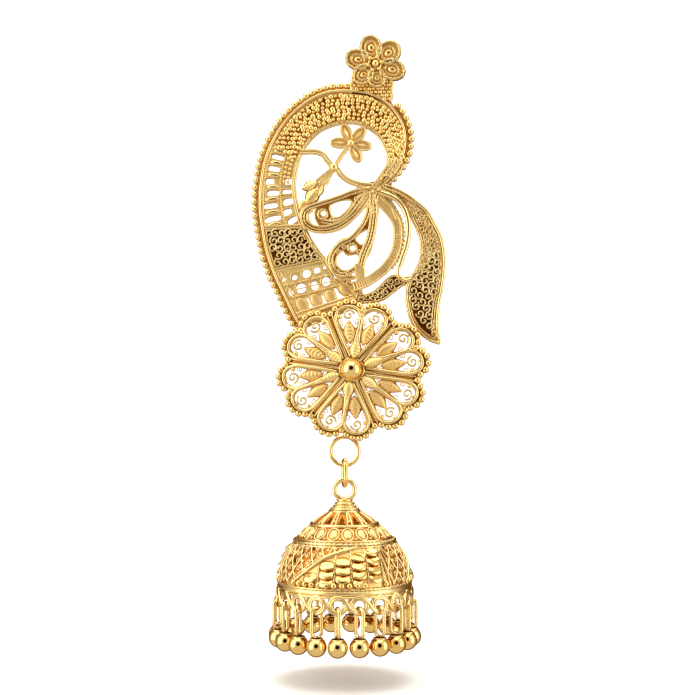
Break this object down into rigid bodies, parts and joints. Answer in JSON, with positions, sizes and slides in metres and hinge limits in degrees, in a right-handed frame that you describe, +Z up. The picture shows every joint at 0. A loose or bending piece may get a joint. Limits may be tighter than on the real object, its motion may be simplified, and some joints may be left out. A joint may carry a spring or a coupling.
{
  "type": "jhumka earring",
  "caption": "Long gold drop earring: a pierced peacock plate with a flower stud, a rosette, and a swinging domed bell fringed with small balls.",
  "frame": {"origin": "the ear post's axis where it leaves the back of the plate, behind the top flower", "axes": "+Z up along the hanging earring, +Y back along the ear post into the ear, +X to the right as seen from the front"},
  "size_m": [0.0273, 0.0217, 0.0852],
  "materials": {
    "filigree_gold": "yellow gold plating over cast and wire-worked brass, satin with bright edges",
    "beaded_gold": "yellow gold plating over small soldered grains, bright",
    "polished_gold": "yellow gold plating, polished"
  },
  "bodies": {
    "plate": {"crescent_band": "filigree_gold", "rim_grains_right": "beaded_gold", "rim_grains_left": "beaded_gold", "top_flower": "filigree_gold", "ear_post": "polished_gold", "vine_scroll": "filigree_gold", "upper_feather_loop": "filigree_gold", "lower_feather_loop": "filigree_gold", "sickle": "filigree_gold", "tail_feather": "filigree_gold", "rosette": "filigree_gold", "rosette_leaves": "filigree_gold", "rosette_boss": "polished_gold", "jump_ring": "polished_gold"},
    "link": {"link": "polished_gold"},
    "bell": {"bell": "filigree_gold", "gallery": "filigree_gold", "drop_01": "polished_gold", "drop_02": "polished_gold", "drop_03": "polished_gold", "drop_04": "polished_gold", "drop_05": "polished_gold", "drop_06": "polished_gold", "drop_07": "polished_gold", "drop_08": "polished_gold", "drop_09": "polished_gold", "drop_10": "polished_gold", "drop_11": "polished_gold", "drop_12": "polished_gold", "drop_13": "polished_gold", "drop_14": "polished_gold", "drop_15": "polished_gold", "drop_16": "polished_gold", "drop_17": "polished_gold", "drop_18": "polished_gold", "drop_19": "polished_gold", "drop_20": "polished_gold"}
  },
  "joints": [
    {"name": "link_swing", "type": "hinge", "parent": "plate", "child": "link", "pos_m": [-0.0043, -0.001, -0.05608], "axis": [1, 0, 0], "range_deg": [-40, 40]},
    {"name": "bell_swing", "type": "hinge", "parent": "link", "child": "bell", "pos_m": [-0.0043, -0.001, -0.05885], "axis": [0, 1, 0], "range_deg": [-40, 40]}
  ]
}
